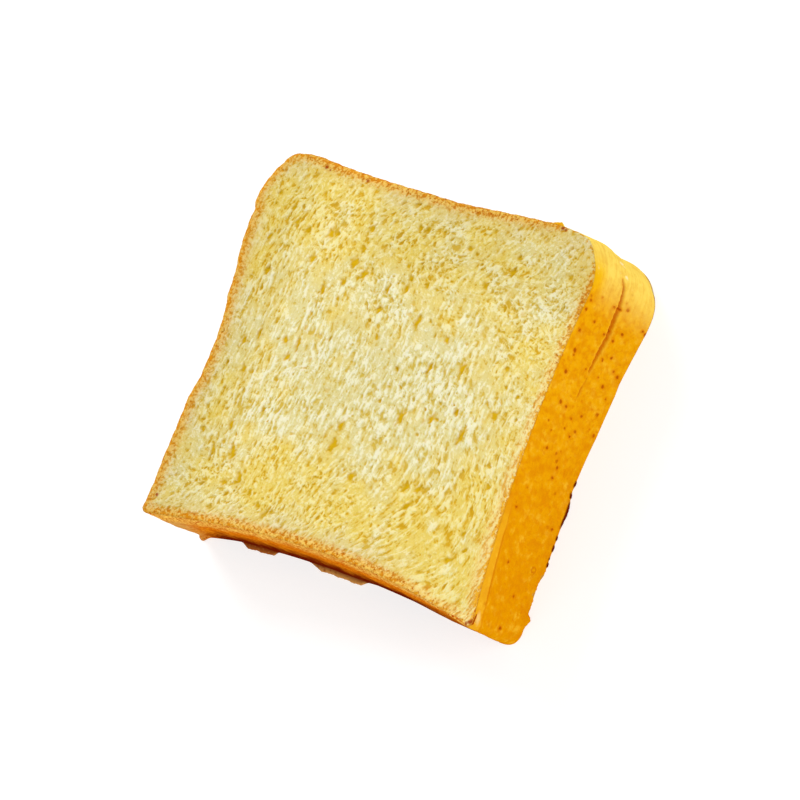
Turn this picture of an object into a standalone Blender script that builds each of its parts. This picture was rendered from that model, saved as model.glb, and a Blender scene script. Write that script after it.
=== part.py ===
"""A thick slice of buttered square loaf, one solid, lying on its back cut face.

The slice lies with its back at z = 0 and its buttered face up. The bottom of the loaf is at -Y,
its top at +Y, and the golden side crust that shows is at +X. The origin is under the middle.

A place on the crust is given by a station, which runs round the slice from 0 to 4, one side of
the loaf for each unit: bottom, right, top, left. A depth runs from 0 at the back to 1 at the face.
"""

import math
import random
from collections import namedtuple

import bmesh
import bpy
from mathutils import Vector, noise
from mathutils.geometry import delaunay_2d_cdt

MM = 0.001

# Size of the slice: a third of a square loaf about 120 mm wide
THICKNESS = 39.4 * MM
HALF = 60.0

# A side, in millimetres: how far its two ends stand from the middle of the slice, how far it
# sags in between them, and how the sag leans towards the far end. First the back, then the face.
Side = namedtuple("Side", "low high sag lean")
LEFT = (Side(62.6, 64.0, 5.0, -0.3), Side(59.4, 65.5, 4.7, 0.5))
RIGHT = (Side(57.4, 62.4, 3.4, -0.3), Side(61.8, 62.0, 4.4, 0.4))
BOTTOM = (Side(59.2, 61.0, 4.3, -1.6), Side(60.6, 61.8, 6.6, 1.2))
TOP = (Side(62.0, 61.8, 3.8, 0.0), Side(62.4, 60.4, 4.4, -0.2))

# Radius of each corner in millimetres at the back, half way and at the face, from the bottom left
# corner round to the top left one
CORNERS = ((2.0, 2.2, 2.0), (6.0, 3.5, 2.2), (18.0, 12.5, 19.0), (16.0, 14.0, 21.0))
CORNER_SPAN = 28.0

# Mesh spacing
CRUST_STEPS = 34
DEPTH_STEPS = 8
FACE_STEP = 5.6
BACK_STEP = 7.5
CREASE_STEP = 2.0

# The crust is a little proud of the crumb along the cut
CRUST_THICKNESS = 1.6
CRUST_LIP = 0.45

# Pores in the cut faces
PORE_GAP = 6.2
FACE_PORES = 110
BACK_PORES = 36
PORE_SEED = 11
PORE_REACH = 66.0
FACE_REACH = 68.0
REST_SPOT = 16.0

# Creases of the golden side crust: stations and depths that each one passes, width and depth
Crease = namedtuple("Crease", "stations depths width cut")
CREASES = (
    Crease((1.925, 1.905, 1.855, 1.77, 1.68), (0.60, 0.54, 0.50, 0.475, 0.51), 0.9, 0.9),
    Crease((1.66, 1.61), (0.50, 0.525), 0.6, 0.5),
)

# Of the crust's grid, only places shallower than this are kept, so that a crease has its own
CREASE_CLEAR = 0.03

# Bumps and dents of the outline: station, depth, half length, half width, height
Bump = namedtuple("Bump", "station depth length width height")
BUMPS = (
    Bump(2.160, 1.00, 2.2, 1.6, 0.8),
    Bump(2.128, 1.00, 1.4, 1.4, -1.0),
    Bump(1.070, 0.05, 2.0, 2.4, 0.9),
    Bump(3.995, 0.00, 2.4, 1.6, 0.8),
)

# Ragged flakes of crumb that hang from the back rim of the bottom crust
Flake = namedtuple("Flake", "start end drop")
FLAKES = (Flake(0.150, 0.255, 1.1), Flake(0.345, 0.515, 1.7))
FLAKE_DEPTH = 2.0

# The torn notch in the face at the bottom right corner
NOTCH = (57.0, -57.0)
NOTCH_RADIUS = 3.2
NOTCH_CUT = 1.3

CRUMB_COLOUR = (0.76, 0.66, 0.32, 1.0)
CRUMB_ROUGHNESS = 0.8


def blend(low, high, part):
    return low + (high - low) * part


def reach(side, across, depth):
    """How far a side stands from the middle, at a place along it from -1 to 1."""
    low, high, sag, lean = (blend(back, face, depth) for back, face in zip(*side))
    return blend(low, high, (across + 1) / 2) - (1 - across ** 2) * (sag + lean * across)


def corner_radius(corner, depth):
    back, middle, face = CORNERS[corner]
    return blend(back, face, depth) + (middle - (back + face) / 2) * 4 * depth * (1 - depth)


def rounded_square(station, depth):
    """A point of the square with rounded corners that the slice is warped from, -1 to 1."""
    station %= 4
    side = int(station)
    along = (station - side) * 2 - 1
    near = HALF * (1 - abs(along))
    radius = corner_radius(side if along < 0 else (side + 1) % 4, depth)
    inset = 0.0
    if near < CORNER_SPAN:
        eighth = math.pi * radius / 4
        walked = near / CORNER_SPAN * (CORNER_SPAN - radius + eighth)
        near = radius + walked - eighth
        if walked < eighth:
            turn = math.pi / 4 - walked / radius
            near = radius * (1 - math.sin(turn))
            inset = radius * (1 - math.cos(turn))
    u = math.copysign(1 - near / HALF, along)
    v = 1 - inset / HALF
    return ((u, -v), (v, u), (-u, v), (-v, -u))[side]


def outline(station, depth):
    """The smooth outline of the slice, before its bumps."""
    u, v = rounded_square(station, depth)
    x = blend(-reach(LEFT, v, depth), reach(RIGHT, v, depth), (u + 1) / 2)
    y = blend(-reach(BOTTOM, u, depth), reach(TOP, u, depth), (v + 1) / 2)
    return Vector((x, y))


def outward(station, depth):
    step = outline(station + 0.004, depth) - outline(station - 0.004, depth)
    return Vector((step.y, -step.x)).normalized()


def crease_cut(station, depth):
    """How deep the creases of the side crust are at a place."""
    deepest = 0.0
    for crease in CREASES:
        places = list(zip(crease.stations, crease.depths))
        for (s0, d0), (s1, d1) in zip(places, places[1:]):
            a = Vector((s0 * 2 * HALF, d0 * THICKNESS / MM))
            b = Vector((s1 * 2 * HALF, d1 * THICKNESS / MM))
            p = Vector((station * 2 * HALF, depth * THICKNESS / MM))
            part = min(max((p - a).dot(b - a) / (b - a).length_squared, 0), 1)
            away = (p - a.lerp(b, part)).length
            deepest = max(deepest, crease.cut * math.exp(-(away / crease.width) ** 2))
    return deepest


def bump_height(station, depth):
    height = 0.0
    for bump in BUMPS:
        along = (station - bump.station) * 2 * HALF / bump.length
        across = (depth - bump.depth) * THICKNESS / MM / bump.width
        height += bump.height * math.exp(-along ** 2 - across ** 2)
    return height


def flake_drop(station, depth):
    drop = 0.0
    for flake in FLAKES:
        inside = min(station - flake.start, flake.end - station) * 2 * HALF
        raggedness = 0.75 + 0.25 * math.sin(station * 170)
        edge = min(max(inside / 0.8 + 0.5, 0), 1)
        near_back = max(0, 1 - depth * THICKNESS / MM / FLAKE_DEPTH)
        drop = max(drop, flake.drop * edge * raggedness * near_back)
    return drop


def crust_point(station, depth):
    """A point of the crust in metres, with its waves, creases, bumps and flakes."""
    base = outline(station, depth)
    wave = 0.35 * noise.noise(Vector((base.x / 17, base.y / 17, depth * 2.2)))
    push = wave - crease_cut(station, depth) + bump_height(station, depth)
    push += flake_drop(station, depth)
    place = base + outward(station, depth) * push
    return Vector((place.x * MM, place.y * MM, depth * THICKNESS))


def face_height(x, y, swell):
    """Soft waves of a cut face, in millimetres."""
    return swell * noise.noise(Vector((x / 21, y / 21, 4.2)))


def grain(x, y):
    """Direction of the long crumb cells, turned from +Y towards +X, in radians."""
    fan = min(max((x + 5) / 25, 0), 1) * min(max((-12 - y) / 36, 0), 1)
    return math.radians(6 * x / HALF + 55 * fan)


Pore = namedtuple("Pore", "x y length width cut turn")


def scatter_pores(count, seed, keep_clear):
    """Open crumb cells at random, none near the crust or near another."""
    draw = random.Random(seed)
    pores = []
    for _ in range(count * 40):
        if len(pores) == count:
            break
        x, y = draw.uniform(-53, 53), draw.uniform(-51, 53)
        length, width = draw.uniform(0.9, 2.2), draw.uniform(0.55, 0.95)
        cut = draw.uniform(0.7, 1.4)
        close = any(math.hypot(x - p.x, y - p.y) < PORE_GAP for p in pores)
        if not close and keep_clear < math.hypot(x, y) < PORE_REACH:
            pores.append(Pore(x, y, length, width, cut, grain(x, y)))
    return pores


def pore_places(pore):
    """The rim of a pore and the line along its floor, with how deep each place lies."""
    along = Vector((math.sin(pore.turn), math.cos(pore.turn)))
    across = Vector((along.y, -along.x))
    middle = Vector((pore.x, pore.y))
    places = []
    for step in range(6):
        angle = math.tau * step / 6
        at = middle + along * math.cos(angle) * pore.length + across * math.sin(angle) * pore.width
        places.append((at, 0.0))
    for end in (-0.45, 0.45):
        places.append((middle + along * end * pore.length, pore.cut))
    return places


def add_sheet(mesh, flat, edges, place):
    """Triangulate flat points inside their edges and add them to the mesh where place puts them."""
    kept, _, triangles, origins, _, _ = delaunay_2d_cdt(flat, edges, [], 1, 1e-5)
    corners = [mesh.verts.new(place(origins[index][0])) for index in range(len(kept))]
    for triangle in triangles:
        mesh.faces.new([corners[index] for index in triangle])


def crust_stations():
    """Stations round the slice, closer together at its small corners, its flap and its flakes."""
    stations = [step / CRUST_STEPS for step in range(4 * CRUST_STEPS)]
    fine = [0.985, 0.993, 1.007, 1.015, 3.985, 3.993, 0.007, 0.015]
    fine += [2.115, 2.128, 2.145, 2.160, 2.175]
    for flake in FLAKES:
        fine += [flake.start - 0.005, flake.start + 0.005, flake.end - 0.005, flake.end + 0.005]
    for extra in fine:
        if min(abs(extra - station) for station in stations) > 0.002:
            stations.append(extra)
    return sorted(stations)


def add_crust(mesh, stations):
    """The crust all round: a grid of places, with closer ones along the creases."""
    depths = [step / DEPTH_STEPS for step in range(DEPTH_STEPS + 1)]
    depths[1:1] = [0.045]
    places = []
    for station in stations + [4.0]:
        for depth in depths:
            if crease_cut(station, depth) < CREASE_CLEAR:
                places.append((station, depth))
    for crease in CREASES:
        ends = list(zip(crease.stations, crease.depths))
        for (s0, d0), (s1, d1) in zip(ends, ends[1:]):
            steps = max(2, round(abs(s1 - s0) * 2 * HALF / CREASE_STEP))
            for step in range(steps):
                station, depth = blend(s0, s1, step / steps), blend(d0, d1, step / steps)
                for side in (-1.7, 0, 1.7):
                    places.append((station, depth + side * crease.width * MM / THICKNESS))
    flat = [Vector((station * 2 * HALF, depth * THICKNESS / MM)) for station, depth in places]
    corners = (0.0, 0.0), (4.0, 0.0), (4.0, 1.0), (0.0, 1.0)
    around = [places.index(corner) for corner in corners]
    edges = list(zip(around, around[1:] + around[:1]))

    def place(index):
        station, depth = places[index]
        return crust_point(station % 4, depth)

    add_sheet(mesh, flat, edges, place)


def add_cut_face(mesh, stations, depth, step, pores, swell, inward):
    """A cut face: the rim, the crust's lip, a grid of crumb and the open pores."""
    level = depth * THICKNESS / MM
    places = []
    for station in stations:
        rim = crust_point(station, depth)
        places.append((Vector((rim.x / MM, rim.y / MM)), level))
    rim_count = len(places)
    for lip, drop in ((CRUST_THICKNESS * 0.6, 0.0), (CRUST_THICKNESS * 1.5, CRUST_LIP)):
        for station in stations[::2]:
            at = outline(station, depth) - outward(station, depth) * lip
            places.append((at, level - inward * drop))
    for pore in pores:
        for at, cut in pore_places(pore):
            height = face_height(at.x, at.y, swell) - CRUST_LIP if swell else 0.0
            places.append((at, level + inward * (height - cut)))
    draw = random.Random(PORE_SEED)
    count = int(HALF // step)
    for row in range(-count, count + 1):
        for column in range(-count, count + 1):
            at = Vector((column + (row % 2) / 2, row * 0.93)) * step
            at += Vector((draw.uniform(-1, 1), draw.uniform(-1, 1))) * step * 0.16
            clear = all((at - Vector((p.x, p.y))).length > p.length + step * 0.3 for p in pores)
            edge = min(reach(RIGHT, 0, depth) - abs(at.x), reach(TOP, 0, depth) - abs(at.y))
            if clear and edge > 4.2 and at.length < FACE_REACH:
                height = face_height(at.x, at.y, swell) - CRUST_LIP if swell else 0.0
                places.append((at, level + inward * height))
    edges = [(index, (index + 1) % rim_count) for index in range(rim_count)]

    def position(index):
        if index < rim_count:
            return crust_point(stations[index], depth)
        at, height = places[index]
        away = math.hypot(at.x - NOTCH[0], at.y - NOTCH[1]) / NOTCH_RADIUS
        if depth > 0.5:
            height -= NOTCH_CUT * math.exp(-away ** 2)
        return Vector((at.x, at.y, height)) * MM

    add_sheet(mesh, [at for at, _ in places], edges, position)


def principled(name, colour, roughness):
    material = bpy.data.materials.new(name)
    material.use_nodes = True
    shader = material.node_tree.nodes["Principled BSDF"]
    shader.inputs["Base Color"].default_value = colour
    shader.inputs["Roughness"].default_value = roughness
    shader.inputs["Metallic"].default_value = 0.0
    return material


def middle_of_box(mesh):
    """The middle of the slice's box in plan, where its origin goes."""
    across = [vertex.co.x for vertex in mesh.verts]
    along = [vertex.co.y for vertex in mesh.verts]
    return Vector((min(across) + max(across), min(along) + max(along), 0.0)) / 2


def make_toast_slice():
    mesh = bmesh.new()
    stations = crust_stations()
    add_crust(mesh, stations)
    face_pores = scatter_pores(FACE_PORES, PORE_SEED, 0.0)
    back_pores = scatter_pores(BACK_PORES, PORE_SEED + 1, REST_SPOT)
    add_cut_face(mesh, stations, 1.0, FACE_STEP, face_pores, 0.7, 1)
    add_cut_face(mesh, stations, 0.0, BACK_STEP, back_pores, 0.0, -1)
    bmesh.ops.remove_doubles(mesh, verts=mesh.verts, dist=0.00001)
    bmesh.ops.recalc_face_normals(mesh, faces=mesh.faces)
    bmesh.ops.translate(mesh, verts=mesh.verts, vec=-middle_of_box(mesh))

    data = bpy.data.meshes.new("toast_slice")
    mesh.to_mesh(data)
    mesh.free()
    toast = bpy.data.objects.new("toast_slice", data)
    bpy.context.scene.collection.objects.link(toast)
    data.materials.append(principled("buttered crumb", CRUMB_COLOUR, CRUMB_ROUGHNESS))
    data.shade_smooth()
    data.set_sharp_from_angle(angle=math.radians(40))
    return toast


for old in list(bpy.data.objects):
    bpy.data.objects.remove(old)

make_toast_slice()
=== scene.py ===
"""A thick slice of buttered square loaf, lying on its back cut face on a white light table.

Three pieces stand for the one solid of the slice: the buttered face, the crust all round and the
back cut face. Their crumb and crust are given their relief by Geometry Nodes.
"""

import functools
import math
from collections import namedtuple

import bpy
import numpy as np
from mathutils import Matrix, Vector, kdtree


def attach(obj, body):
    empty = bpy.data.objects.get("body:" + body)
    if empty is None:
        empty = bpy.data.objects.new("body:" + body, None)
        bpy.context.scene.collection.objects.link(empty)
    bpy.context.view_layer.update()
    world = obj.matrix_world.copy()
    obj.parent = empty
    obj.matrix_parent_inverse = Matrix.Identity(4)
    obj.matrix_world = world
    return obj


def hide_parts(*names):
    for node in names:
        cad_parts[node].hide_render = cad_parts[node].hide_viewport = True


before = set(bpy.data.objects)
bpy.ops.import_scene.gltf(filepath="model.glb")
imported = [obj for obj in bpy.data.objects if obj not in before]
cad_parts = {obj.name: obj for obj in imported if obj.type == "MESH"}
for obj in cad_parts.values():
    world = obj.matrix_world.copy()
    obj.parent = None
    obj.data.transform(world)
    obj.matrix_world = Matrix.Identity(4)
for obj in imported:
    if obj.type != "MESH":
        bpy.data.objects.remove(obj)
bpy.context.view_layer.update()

MM = 0.001

# The form of the slice, in millimetres, as the solid has it
THICKNESS = 39.4
HALF = 60.0
# A station counts the sides round the slice, from the bottom left corner: bottom, right, top, left.
# A depth runs from 0 at the back cut face to 1 at the buttered face.
STATION_LENGTH = 2 * HALF
# How far each side stands from the middle at its two ends, and its sag: at the back, at the face
Side = namedtuple("Side", "low high sag lean")
LEFT = (Side(62.6, 64.0, 5.0, -0.3), Side(59.4, 65.5, 4.7, 0.5))
RIGHT = (Side(57.4, 62.4, 3.4, -0.3), Side(61.8, 62.0, 4.4, 0.4))
BOTTOM = (Side(59.2, 61.0, 4.3, -1.6), Side(60.6, 61.8, 6.6, 1.2))
TOP = (Side(62.0, 61.8, 3.8, 0.0), Side(62.4, 60.4, 4.4, -0.2))
# Each corner's radius at the back, halfway and at the face
CORNERS = ((2.0, 2.2, 2.0), (6.0, 3.5, 2.2), (18.0, 12.5, 19.0), (16.0, 14.0, 21.0))
CORNER_SPAN = 28.0

# How far the crust stands out from the plain form, at the face and at the back: station, millimetres
FACE_SWAY = (
    (1.84, 0), (1.9, -0.5), (1.96, -0.9), (2.03, -0.2), (2.06, -0.6), (2.09, -0.9), (2.13, -1),
    (2.16, -0.5), (2.25, -0.1), (2.33, -0.1), (2.43, -0.4), (2.52, 0), (2.75, -0.2), (2.88, 0),
    (2.95, 0.6), (2.97, 0.3), (3, -0.7), (3.07, -1), (3.12, -0.3), (3.165, 0.4), (3.185, -0.3),
    (3.21, 0.5), (3.27, 1.1), (3.31, 1.1), (3.36, 0.4), (3.42, 0.5), (3.46, -0.4), (3.53, -0.8),
    (3.64, -0.2), (3.67, 0.6), (3.69, 1.1), (3.86, 0.9), (3.92, 0.3), (4, 0.1),
)
BACK_SWAY = (
    (0, 0.1), (0.12, -0.2), (0.25, 0.3), (0.35, 0.3), (0.52, 0.2), (0.56, -0.3), (0.68, -0.3),
    (0.8, 0.2), (0.87, 0), (0.94, -0.6), (1, 0), (1.12, -0.1), (1.17, -0.2), (1.19, 0.7), (1.28, 0.7),
    (1.38, 0.5), (1.4, -0.2), (1.5, 0), (1.55, 0.3), (1.66, 0.3), (1.69, 0), (1.78, 0.5), (1.84, 0.8),
    (1.92, 0.4), (1.97, -0.2), (2.1, 0), (2.6, 0.4), (2.9, -0.4), (3.2, 0.3), (3.5, -0.6), (3.8, 0.5),
    (4, 0.1),
)

# Creases along the side crust: stations, depths, half width and cut
CREASES = (
    ((1.925, 1.905, 1.855, 1.77, 1.68), (0.60, 0.54, 0.50, 0.475, 0.51), 1.0, 1.2),
    ((1.66, 1.61), (0.50, 0.525), 0.45, 0.6),
    ((1.300, 1.208, 1.127, 1.065), (0.900, 0.875, 0.855, 0.840), 0.55, 0.25),
)
# Single bumps and dents of the crust: station, depth, half length, half width and height
BUMPS = (
    (2.138, 1.00, 0.9, 1.4, 0.9),
    (2.150, 1.00, 1.5, 1.2, 0.7),
    (2.127, 1.00, 0.7, 1.2, -0.8),
    (2.030, 0.43, 12.0, 12.0, -2.2),
    (0.030, 0.50, 8.0, 15.0, 0.6),
    (1.072, 0.02, 1.7, 2.2, 1.3),
    (0.010, 0.00, 1.6, 1.3, 1.4),
)
# Torn flakes under the back edge of the bottom: start, end and drop
FLAKES = ((0.130, 0.250, 1.7), (0.345, 0.535, 1.7))
# Bits standing out of the right side's back edge, painted near black as shade: station, half length and
# height
SHADED_EDGE_BITS = (
    (1.427, 0.8, 0.45), (1.397, 0.8, 0.4), (1.350, 3.4, 0.6), (1.288, 0.7, 0.35), (1.262, 0.9, 0.35),
    (1.236, 0.5, 0.25), (1.220, 0.7, 0.35),
)
# The crust's largest pinholes and its pale scuffs: station, depth and radius
PINHOLES = (
    (1.79, 0.763, 0.35), (1.705, 0.85, 0.55), (1.695, 0.838, 0.25), (1.772, 0.388, 0.4), (1.8, 0.3, 0.4),
    (1.775, 0.55, 0.3), (1.838, 0.062, 0.35), (1.65, 0.85, 0.5), (1.808, 0.95, 0.4), (1.835, 0.938, 0.3),
    (1.752, 0.913, 0.4), (1.72, 0.4, 0.3), (1.735, 0.288, 0.4), (1.71, 0.175, 0.3), (1.703, 0.088, 0.4),
    (1.665, 0.238, 0.45), (1.85, 0.575, 0.3), (1.853, 0.475, 0.35), (1.578, 0.638, 0.3),
    (1.52, 0.4, 0.3), (1.413, 0.413, 0.3), (1.47, 0.675, 0.35), (1.31, 0.825, 0.35),
    (1.302, 0.138, 0.35), (1.183, 0.663, 0.35), (1.113, 0.375, 0.3), (1.028, 0.463, 0.5),
    (1.44, 0.4, 0.35),
)
SCUFFS = ((1.985, 0.6, 0.7), (1.94, 0.54, 0.6), (1.975, 0.56, 0.3))
# A pale streak and a crack in the crust by the lower right corner: ends and half width
STREAK = ((1.046, 0.915), (1.011, 0.905), 1.2)
CRACK = ((1.04, 0.953), (1.004, 0.995), 0.45)
RING_BLISTER = (1.193, 0.2, 0.8)
# Spots in the crust are this much longer through the slice than along the crust
WIDE_SPOTS = 1.6

# The largest open cells of the buttered face: place, half width and half length
HOLES = (
    (-5.5, 19.1, 0.8, 1.1), (-26.9, 20.1, 0.8, 1.4), (-18.4, 35.6, 0.9, 1), (-3.4, -17.4, 0.8, 1.4),
    (33.2, 40.6, 0.8, 1.2), (-30.3, -41.6, 0.8, 2.2), (-36, -34.8, 0.8, 2.4), (-44.2, 38.2, 0.7, 1),
    (-40, -26.8, 0.7, 1.5), (-30.1, -2.5, 0.8, 1.1), (-43.4, -9.8, 0.7, 1.2), (-48.2, 21.4, 0.9, 1.3),
    (44.5, -1.4, 1.1, 1.3), (32.3, -3.5, 0.8, 1.2), (18.1, 6.5, 0.6, 1.6), (-39.7, 36.5, 0.8, 1.1),
    (-3.6, -23.5, 1, 2.2), (36.4, -9.8, 0.7, 2.4), (-32.9, 2.3, 0.9, 1.1), (-31.4, 37.4, 1, 1.5),
    (26, 34.6, 0.8, 0.9), (25.1, -28.9, 0.8, 1.4), (-34.3, 28.6, 0.9, 1.2), (46.9, -45.2, 0.8, 1.4),
    (-17.6, -49.7, 0.7, 1.6), (50.9, -41, 0.6, 0.9), (-18.1, 42.2, 0.8, 1.3), (8.6, 18.8, 0.8, 1.8),
    (29.3, -28.3, 0.7, 1.4), (-19.7, 30.7, 1.2, 1.7), (48.8, -36.5, 0.6, 1.1), (-20.9, -47.6, 0.7, 0.8),
    (50.8, -21.5, 0.7, 0.9), (-25.1, -44.3, 0.6, 0.9), (33.5, 45.1, 0.7, 0.8), (-2, 46.1, 0.8, 1.1),
    (-28, 2.3, 0.5, 2), (0.8, 46.6, 0.7, 0.9), (-42.5, 2, 0.5, 2.2), (-36.7, -52.6, 0.6, 0.8),
    (28.7, 9.2, 0.9, 1.7), (1.1, 30.7, 0.8, 0.9), (25, -7.7, 0.7, 1.4), (-47, -1.3, 0.7, 1.4),
    (-49.1, -30.8, 0.7, 0.9), (6.2, -30.8, 0.9, 1.5), (-54.1, 45.5, 0.7, 0.8), (20.3, 16, 0.8, 1.1),
    (-47.2, 42.2, 0.7, 0.9), (27.5, -34.1, 0.8, 1.8), (-5.8, 52.7, 0.7, 1), (-20.9, 24.2, 0.7, 1),
    (7.3, 30.1, 0.6, 1.2), (0.8, 27.1, 0.7, 1.4), (-34.9, -44.2, 0.8, 0.9), (-14.9, 28.1, 1, 1.4),
    (52, 43.6, 0.7, 0.9), (-5.2, 26, 0.5, 1.5), (-43, -36.1, 0.5, 1.9), (15, -9.8, 0.9, 2.2),
)
# Scorched specks on the face: place and radius; the last five are the tear at the lower right corner
SPECKS = (
    (-41.6, 56.8, 0.7), (-39.9, 56.2, 0.35), (-25.7, 55.9, 0.5), (-55.9, -54.1, 0.6), (43.6, 57, 0.7),
    (44.7, 56.7, 0.5), (62, -57.3, 0.6), (61.8, -58.3, 0.7), (61.3, -59.2, 0.7), (60.6, -59.9, 0.6),
    (59.7, -60.5, 0.5),
)
# The notch torn at that corner
NOTCH = (57, -57)
NOTCH_RADIUS = 3.2
NOTCH_CUT = 1.3

# The face's rim: the width of its crust line and of its toasted crumb, and how brown it is
RIM_KINDS = ("station", "line", "toasted", "char")
RIM = dict(zip(RIM_KINDS, zip(
    (0, 0.9, 3, 0.5), (0.15, 1.1, 3, 0.65), (0.3, 0.8, 3.4, 0.7), (0.5, 0.8, 3.7, 0.75),
    (0.8, 0.8, 3.5, 0.75), (0.94, 1, 3.6, 0.6), (0.99, 1.1, 4, 0.4), (1.05, 1, 4.4, 0.15),
    (1.19, 0.9, 4.6, 0.1), (1.33, 0.8, 3.8, 0.1), (1.41, 0.7, 3.2, 0.15), (1.5, 0.7, 3, 0.25),
    (1.66, 0.6, 3, 0.6), (1.85, 0.6, 2.8, 0.7), (1.9, 0.3, 1.6, 0.2), (1.95, 0.1, 0.6, 0),
    (2.1, 0.1, 0.7, 0), (2.15, 0.5, 2.6, 0.5), (2.3, 0.8, 3.4, 0.8), (2.8, 0.8, 3.4, 0.7),
    (2.95, 1, 3.4, 0.35), (3.08, 1.5, 3.4, 0.05), (3.2, 1.2, 4.1, 0.32), (3.6, 1.2, 4.2, 0.32),
    (3.9, 1, 4.1, 0.36), (4, 0.9, 3.2, 0.5),
)))

# Mesh spacing: steps along a side of each piece
FACE_STEPS = 306
BACK_STEPS = 240
CRUST_STEPS = 250
CRUST_ROWS = 88
# Where each piece turns in out of sight: how far in from the outline, and how far below the face
FACE_SKIRT = ((0.25, 1.2), (0.6, 3.0))
CRUST_LIP = (0.6, 0.55)
CRUST_WALL = (1.6, 0.9)
EDGE_DROP = 0.35
# The grid on which the run of the crumb's fibres is worked out
GRAIN_CELL = 2.2
GRAIN_CELLS = 61
SETTLING_STEPS = 3000
# The buttered face looks up, and the back face down
CRUMB_SEED = {1: 4.0, -1: 9.0}

# Where the camera stands from the face, in millimetres, and which ways its picture's sides run
CAMERA_PLACE = (503.08, -111.75, 790.71)
CAMERA_RIGHT = (0.8150, 0.3557, -0.4574)
CAMERA_UP = (-0.2482, 0.9276, 0.2792)


# Shared shape functions, on arrays of places

def blend(low, high, part):
    return low + (high - low) * part


def ramp(value, low, high):
    """A smooth rise from 0 at low to 1 at high."""
    part = np.clip((value - low) / (high - low), 0, 1)
    return part * part * (3 - 2 * part)


def reach(side, across, depth):
    """How far a side stands from the middle, at a place along it from -1 to 1."""
    low, high, sag, lean = (blend(back, face, depth) for back, face in zip(*side))
    return blend(low, high, (across + 1) / 2) - (1 - across ** 2) * (sag + lean * across)


def rounded_square(station, depth):
    """Points of the square with rounded corners that the slice is warped from, -1 to 1."""
    station = np.mod(station, 4)
    side = np.minimum(station.astype(int), 3)
    along = (station - side) * 2 - 1
    near = HALF * (1 - np.abs(along))
    corner = np.where(along < 0, side, (side + 1) % 4)
    back, middle, face = (np.array(CORNERS)[corner, column] for column in range(3))
    radius = blend(back, face, depth) + (middle - (back + face) / 2) * 4 * depth * (1 - depth)
    eighth = math.pi * radius / 4
    walked = near / CORNER_SPAN * (CORNER_SPAN - radius + eighth)
    turn = math.pi / 4 - walked / radius
    on_arc = (near < CORNER_SPAN) & (walked < eighth)
    straight = np.where(near < CORNER_SPAN, radius + walked - eighth, near)
    near = np.where(on_arc, radius * (1 - np.sin(turn)), straight)
    inset = np.where(on_arc, radius * (1 - np.cos(turn)), 0)
    u = np.copysign(1 - near / HALF, along)
    v = 1 - inset / HALF
    x = np.choose(side, (u, v, -u, -v))
    y = np.choose(side, (-v, u, v, -u))
    return x, y


def warp(u, v, depth):
    """From the square to the slice, whose sides sag and lean."""
    x = blend(-reach(LEFT, v, depth), reach(RIGHT, v, depth), (u + 1) / 2)
    y = blend(-reach(BOTTOM, u, depth), reach(TOP, u, depth), (v + 1) / 2)
    return x, y


def plain_outline(station, depth):
    """Where the crust would run if it were even."""
    u, v = rounded_square(station, depth)
    return warp(u, v, depth)


def outward(station, depth):
    """The way out of the slice at a place of the outline."""
    x0, y0 = plain_outline(station - 0.004, depth)
    x1, y1 = plain_outline(station + 0.004, depth)
    length = np.hypot(x1 - x0, y1 - y0)
    return (y1 - y0) / length, (x0 - x1) / length


def uneven(station):
    """A ragged line along the crust, from -1 to 1."""
    waves = ((131, 0, 0.5), (257, 1.3, 0.3), (611, 0.7, 0.3))
    return sum(np.sin(station * often + start) * height for often, start, height in waves)


def sway(station, depth):
    """How far the uneven crust stands out from the plain form, in millimetres."""
    face = np.interp(np.mod(station, 4), *zip(*FACE_SWAY))
    back = np.interp(np.mod(station, 4), *zip(*BACK_SWAY))
    right_side = ramp(station, 0.9, 1.0) * ramp(2.1 - station, 0, 0.1)
    crumbs = 0.13 * uneven(station) * ramp(depth, 0.8, 1.0) * (1 - right_side)
    return face * ramp(depth, 0.1, 0.95) + back * ramp(0.4 - depth, 0, 0.35) + crumbs


def outline(station, depth):
    """Where the uneven crust runs."""
    x, y = plain_outline(station, depth)
    out_x, out_y = outward(station, depth)
    out = sway(station, depth)
    return x + out_x * out, y + out_y * out


def middle_of_outline():
    """The middle of the outline's box, which is the origin of the solid."""
    station, depth = np.meshgrid(np.linspace(0, 4, 801), np.linspace(0, 1, 9))
    x, y = plain_outline(station.ravel(), depth.ravel())
    return (x.min() + x.max()) / 2, (y.min() + y.max()) / 2


MIDDLE = middle_of_outline()


def crease_cut(station, depth):
    """How deep a place lies in a crease of the crust, and how near to a crease's lip."""
    deepest, lip = np.zeros_like(station), np.zeros_like(station)
    place = np.stack([station * STATION_LENGTH, depth * THICKNESS])
    ragged = 1 + 0.15 * np.sin(place[0] * 2.9 + place[1]) + 0.1 * np.sin(place[0] * 6.1)
    for stations, depths, half_width, cut in CREASES:
        ends = np.array([np.array(stations) * STATION_LENGTH, np.array(depths) * THICKNESS])
        pieces = len(stations) - 1
        for piece, (a, b) in enumerate(zip(ends.T, ends.T[1:])):
            part = np.clip(((place.T - a) @ (b - a)) / ((b - a) @ (b - a)), 0, 1)
            nearest = a[:, None] + (b - a)[:, None] * part
            away = np.hypot(*(place - nearest)) * ragged
            taper = np.sin(math.pi * (0.08 + 0.84 * ((piece + part) / pieces) ** 1.7))
            width = half_width * (0.35 + 0.65 * taper)
            strength = cut * (0.4 + 0.6 * taper)
            deepest = np.maximum(deepest, strength * np.exp(-(away / width) ** 2))
            lip = np.maximum(lip, strength * np.exp(-((away - 1.7 * width) / (0.5 * width)) ** 2))
    return deepest, lip


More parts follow.
